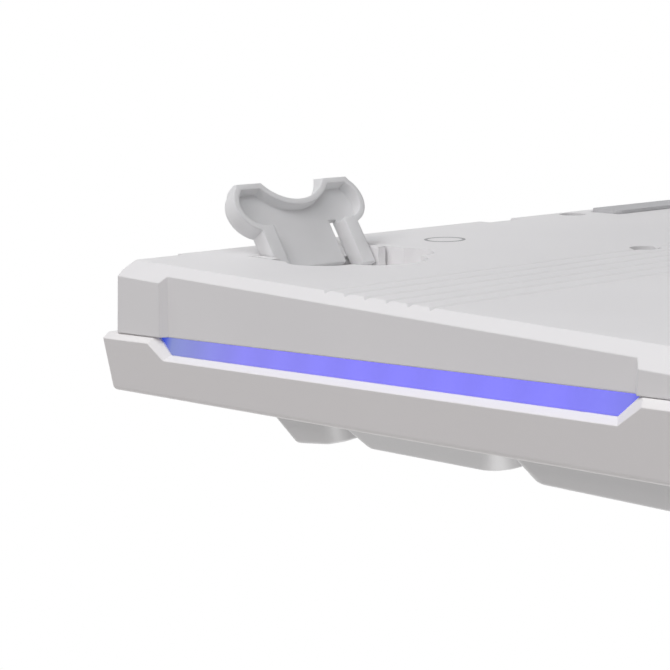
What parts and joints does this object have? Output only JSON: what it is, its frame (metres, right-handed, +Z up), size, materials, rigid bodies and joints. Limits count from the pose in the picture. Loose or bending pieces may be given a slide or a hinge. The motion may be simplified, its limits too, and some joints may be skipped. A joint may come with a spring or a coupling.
{
  "type": "keyboard",
  "caption": "Full-size desk keyboard with a raised rim, side light strips, sprung keys over a rubber dome sheet and fold-out rear feet, standing with its feet open.",
  "frame": {"origin": "centre of the bounding box's base, on the desk the keyboard stands on", "axes": "+X to the typist's right, +Y to the rear, +Z up"},
  "size_m": [0.4362, 0.1482, 0.0428],
  "materials": {
    "keycaps": "fine matt",
    "feet": "satin",
    "lower_case": "fine matt",
    "upper_case": "fine matt",
    "light_strips": "diffusing, lit from behind",
    "strip_boards": "solder mask",
    "dome_rubber": "matt",
    "films": "clear film",
    "plate_steel": "zinc plated",
    "circuit_board": "solder mask",
    "socket_steel": "plated",
    "clamp_plastic": "moulded",
    "screw_steel": "plated",
    "lens": "clear",
    "pad_rubber": "matt"
  },
  "bodies": {
    "case": {"bottom_case": "lower_case", "case_screws": "screw_steel", "clamp_screws": "screw_steel", "controller_board": "circuit_board", "data_socket": "socket_steel", "dome_sheet": "dome_rubber", "front_rubber_pads": "pad_rubber", "light_strip_left": "light_strips", "light_strip_right": "light_strips", "membrane_lower_film": "films", "membrane_spacer_film": "films", "membrane_upper_film": "films", "rear_rubber_pads": "pad_rubber", "status_lens": "lens", "strip_light_board_left": "strip_boards", "strip_light_board_right": "strip_boards", "support_plate": "plate_steel", "tail_clamp_bar": "clamp_plastic", "top_case": "upper_case"},
    "key_backspace": {"key_backspace": "keycaps"},
    "key_caps_lock": {"key_caps_lock": "keycaps"},
    "key_down": {"key_down": "keycaps"},
    "key_enter": {"key_enter": "keycaps"},
    "key_escape": {"key_escape": "keycaps"},
    "key_left": {"key_left": "keycaps"},
    "key_left_shift": {"key_left_shift": "keycaps"},
    "key_pad_0": {"key_pad_0": "keycaps"},
    "key_pad_1": {"key_pad_1": "keycaps"},
    "key_pad_2": {"key_pad_2": "keycaps"},
    "key_pad_3": {"key_pad_3": "keycaps"},
    "key_pad_4": {"key_pad_4": "keycaps"},
    "key_pad_5": {"key_pad_5": "keycaps"},
    "key_pad_6": {"key_pad_6": "keycaps"},
    "key_pad_7": {"key_pad_7": "keycaps"},
    "key_pad_8": {"key_pad_8": "keycaps"},
    "key_pad_9": {"key_pad_9": "keycaps"},
    "key_pad_divide": {"key_pad_divide": "keycaps"},
    "key_pad_enter": {"key_pad_enter": "keycaps"},
    "key_pad_lock": {"key_pad_lock": "keycaps"},
    "key_pad_minus": {"key_pad_minus": "keycaps"},
    "key_pad_multiply": {"key_pad_multiply": "keycaps"},
    "key_pad_plus": {"key_pad_plus": "keycaps"},
    "key_pad_point": {"key_pad_point": "keycaps"},
    "key_right": {"key_right": "keycaps"},
    "key_right_shift": {"key_right_shift": "keycaps"},
    "key_space": {"key_space": "keycaps"},
    "key_tab": {"key_tab": "keycaps"},
    "key_up": {"key_up": "keycaps"},
    "keys_function": {"keys_function": "keycaps"},
    "keys_home_letters": {"keys_home_letters": "keycaps"},
    "keys_lower_letters": {"keys_lower_letters": "keycaps"},
    "keys_modifiers": {"keys_modifiers": "keycaps"},
    "keys_navigation": {"keys_navigation": "keycaps"},
    "keys_number_row": {"keys_number_row": "keycaps"},
    "keys_system": {"keys_system": "keycaps"},
    "keys_upper_letters": {"keys_upper_letters": "keycaps"},
    "foot_right": {"foot_right": "feet"},
    "foot_left": {"foot_left": "feet"}
  },
  "joints": [
    {"name": "key_backspace_press", "type": "slide", "parent": "case", "child": "key_backspace", "axis": [0, 0.1542, -0.988], "range_m": [0, 0.0035], "stiffness_N_per_m": 120, "springref_m": -0.002, "deforming": ["dome_sheet"]},
    {"name": "key_caps_lock_press", "type": "slide", "parent": "case", "child": "key_caps_lock", "axis": [0, 0.1542, -0.988], "range_m": [0, 0.0035], "stiffness_N_per_m": 120, "springref_m": -0.002, "deforming": ["dome_sheet"]},
    {"name": "key_down_press", "type": "slide", "parent": "case", "child": "key_down", "axis": [0, 0.1542, -0.988], "range_m": [0, 0.0035], "stiffness_N_per_m": 120, "springref_m": -0.002, "deforming": ["dome_sheet"]},
    {"name": "key_enter_press", "type": "slide", "parent": "case", "child": "key_enter", "axis": [0, 0.1542, -0.988], "range_m": [0, 0.0035], "stiffness_N_per_m": 120, "springref_m": -0.002, "deforming": ["dome_sheet"]},
    {"name": "key_escape_press", "type": "slide", "parent": "case", "child": "key_escape", "axis": [0, 0.1542, -0.988], "range_m": [0, 0.0035], "stiffness_N_per_m": 120, "springref_m": -0.002, "deforming": ["dome_sheet"]},
    {"name": "key_left_press", "type": "slide", "parent": "case", "child": "key_left", "axis": [0, 0.1542, -0.988], "range_m": [0, 0.0035], "stiffness_N_per_m": 120, "springref_m": -0.002, "deforming": ["dome_sheet"]},
    {"name": "key_left_shift_press", "type": "slide", "parent": "case", "child": "key_left_shift", "axis": [0, 0.1542, -0.988], "range_m": [0, 0.0035], "stiffness_N_per_m": 120, "springref_m": -0.002, "deforming": ["dome_sheet"]},
    {"name": "key_pad_0_press", "type": "slide", "parent": "case", "child": "key_pad_0", "axis": [0, 0.1542, -0.988], "range_m": [0, 0.0035], "stiffness_N_per_m": 120, "springref_m": -0.002, "deforming": ["dome_sheet"]},
    {"name": "key_pad_1_press", "type": "slide", "parent": "case", "child": "key_pad_1", "axis": [0, 0.1542, -0.988], "range_m": [0, 0.0035], "stiffness_N_per_m": 120, "springref_m": -0.002, "deforming": ["dome_sheet"]},
    {"name": "key_pad_2_press", "type": "slide", "parent": "case", "child": "key_pad_2", "axis": [0, 0.1542, -0.988], "range_m": [0, 0.0035], "stiffness_N_per_m": 120, "springref_m": -0.002, "deforming": ["dome_sheet"]},
    {"name": "key_pad_3_press", "type": "slide", "parent": "case", "child": "key_pad_3", "axis": [0, 0.1542, -0.988], "range_m": [0, 0.0035], "stiffness_N_per_m": 120, "springref_m": -0.002, "deforming": ["dome_sheet"]},
    {"name": "key_pad_4_press", "type": "slide", "parent": "case", "child": "key_pad_4", "axis": [0, 0.1542, -0.988], "range_m": [0, 0.0035], "stiffness_N_per_m": 120, "springref_m": -0.002, "deforming": ["dome_sheet"]},
    {"name": "key_pad_5_press", "type": "slide", "parent": "case", "child": "key_pad_5", "axis": [0, 0.1542, -0.988], "range_m": [0, 0.0035], "stiffness_N_per_m": 120, "springref_m": -0.002, "deforming": ["dome_sheet"]},
    {"name": "key_pad_6_press", "type": "slide", "parent": "case", "child": "key_pad_6", "axis": [0, 0.1542, -0.988], "range_m": [0, 0.0035], "stiffness_N_per_m": 120, "springref_m": -0.002, "deforming": ["dome_sheet"]},
    {"name": "key_pad_7_press", "type": "slide", "parent": "case", "child": "key_pad_7", "axis": [0, 0.1542, -0.988], "range_m": [0, 0.0035], "stiffness_N_per_m": 120, "springref_m": -0.002, "deforming": ["dome_sheet"]},
    {"name": "key_pad_8_press", "type": "slide", "parent": "case", "child": "key_pad_8", "axis": [0, 0.1542, -0.988], "range_m": [0, 0.0035], "stiffness_N_per_m": 120, "springref_m": -0.002, "deforming": ["dome_sheet"]},
    {"name": "key_pad_9_press", "type": "slide", "parent": "case", "child": "key_pad_9", "axis": [0, 0.1542, -0.988], "range_m": [0, 0.0035], "stiffness_N_per_m": 120, "springref_m": -0.002, "deforming": ["dome_sheet"]},
    {"name": "key_pad_divide_press", "type": "slide", "parent": "case", "child": "key_pad_divide", "axis": [0, 0.1542, -0.988], "range_m": [0, 0.0035], "stiffness_N_per_m": 120, "springref_m": -0.002, "deforming": ["dome_sheet"]},
    {"name": "key_pad_enter_press", "type": "slide", "parent": "case", "child": "key_pad_enter", "axis": [0, 0.1542, -0.988], "range_m": [0, 0.0035], "stiffness_N_per_m": 120, "springref_m": -0.002, "deforming": ["dome_sheet"]},
    {"name": "key_pad_lock_press", "type": "slide", "parent": "case", "child": "key_pad_lock", "axis": [0, 0.1542, -0.988], "range_m": [0, 0.0035], "stiffness_N_per_m": 120, "springref_m": -0.002, "deforming": ["dome_sheet"]},
    {"name": "key_pad_minus_press", "type": "slide", "parent": "case", "child": "key_pad_minus", "axis": [0, 0.1542, -0.988], "range_m": [0, 0.0035], "stiffness_N_per_m": 120, "springref_m": -0.002, "deforming": ["dome_sheet"]},
    {"name": "key_pad_multiply_press", "type": "slide", "parent": "case", "child": "key_pad_multiply", "axis": [0, 0.1542, -0.988], "range_m": [0, 0.0035], "stiffness_N_per_m": 120, "springref_m": -0.002, "deforming": ["dome_sheet"]},
    {"name": "key_pad_plus_press", "type": "slide", "parent": "case", "child": "key_pad_plus", "axis": [0, 0.1542, -0.988], "range_m": [0, 0.0035], "stiffness_N_per_m": 120, "springref_m": -0.002, "deforming": ["dome_sheet"]},
    {"name": "key_pad_point_press", "type": "slide", "parent": "case", "child": "key_pad_point", "axis": [0, 0.1542, -0.988], "range_m": [0, 0.0035], "stiffness_N_per_m": 120, "springref_m": -0.002, "deforming": ["dome_sheet"]},
    {"name": "key_right_press", "type": "slide", "parent": "case", "child": "key_right", "axis": [0, 0.1542, -0.988], "range_m": [0, 0.0035], "stiffness_N_per_m": 120, "springref_m": -0.002, "deforming": ["dome_sheet"]},
    {"name": "key_right_shift_press", "type": "slide", "parent": "case", "child": "key_right_shift", "axis": [0, 0.1542, -0.988], "range_m": [0, 0.0035], "stiffness_N_per_m": 120, "springref_m": -0.002, "deforming": ["dome_sheet"]},
    {"name": "key_space_press", "type": "slide", "parent": "case", "child": "key_space", "axis": [0, 0.1542, -0.988], "range_m": [0, 0.0035], "stiffness_N_per_m": 120, "springref_m": -0.002, "deforming": ["dome_sheet"]},
    {"name": "key_tab_press", "type": "slide", "parent": "case", "child": "key_tab", "axis": [0, 0.1542, -0.988], "range_m": [0, 0.0035], "stiffness_N_per_m": 120, "springref_m": -0.002, "deforming": ["dome_sheet"]},
    {"name": "key_up_press", "type": "slide", "parent": "case", "child": "key_up", "axis": [0, 0.1542, -0.988], "range_m": [0, 0.0035], "stiffness_N_per_m": 120, "springref_m": -0.002, "deforming": ["dome_sheet"]},
    {"name": "keys_function_press", "type": "slide", "parent": "case", "child": "keys_function", "axis": [0, 0.1542, -0.988], "range_m": [0, 0.0035], "stiffness_N_per_m": 1440, "springref_m": -0.002, "deforming": ["dome_sheet"]},
    {"name": "keys_home_letters_press", "type": "slide", "parent": "case", "child": "keys_home_letters", "axis": [0, 0.1542, -0.988], "range_m": [0, 0.0035], "stiffness_N_per_m": 1320, "springref_m": -0.002, "deforming": ["dome_sheet"]},
    {"name": "keys_lower_letters_press", "type": "slide", "parent": "case", "child": "keys_lower_letters", "axis": [0, 0.1542, -0.988], "range_m": [0, 0.0035], "stiffness_N_per_m": 1200, "springref_m": -0.002, "deforming": ["dome_sheet"]},
    {"name": "keys_modifiers_press", "type": "slide", "parent": "case", "child": "keys_modifiers", "axis": [0, 0.1542, -0.988], "range_m": [0, 0.0035], "stiffness_N_per_m": 840, "springref_m": -0.002, "deforming": ["dome_sheet"]},
    {"name": "keys_navigation_press", "type": "slide", "parent": "case", "child": "keys_navigation", "axis": [0, 0.1542, -0.988], "range_m": [0, 0.0035], "stiffness_N_per_m": 720, "springref_m": -0.002, "deforming": ["dome_sheet"]},
    {"name": "keys_number_row_press", "type": "slide", "parent": "case", "child": "keys_number_row", "axis": [0, 0.1542, -0.988], "range_m": [0, 0.0035], "stiffness_N_per_m": 1560, "springref_m": -0.002, "deforming": ["dome_sheet"]},
    {"name": "keys_system_press", "type": "slide", "parent": "case", "child": "keys_system", "axis": [0, 0.1542, -0.988], "range_m": [0, 0.0035], "stiffness_N_per_m": 360, "springref_m": -0.002, "deforming": ["dome_sheet"]},
    {"name": "keys_upper_letters_press", "type": "slide", "parent": "case", "child": "keys_upper_letters", "axis": [0, 0.1542, -0.988], "range_m": [0, 0.0035], "stiffness_N_per_m": 1560, "springref_m": -0.002, "deforming": ["dome_sheet"]},
    {"name": "foot_right_fold", "type": "hinge", "parent": "case", "child": "foot_right", "pos_m": [0.1817, 0.05313, 0.01431], "axis": [-1, 0, 0], "range_deg": [0, 125]},
    {"name": "foot_left_fold", "type": "hinge", "parent": "case", "child": "foot_left", "pos_m": [-0.1817, 0.05313, 0.01431], "axis": [-1, 0, 0], "range_deg": [0, 125]}
  ]
}
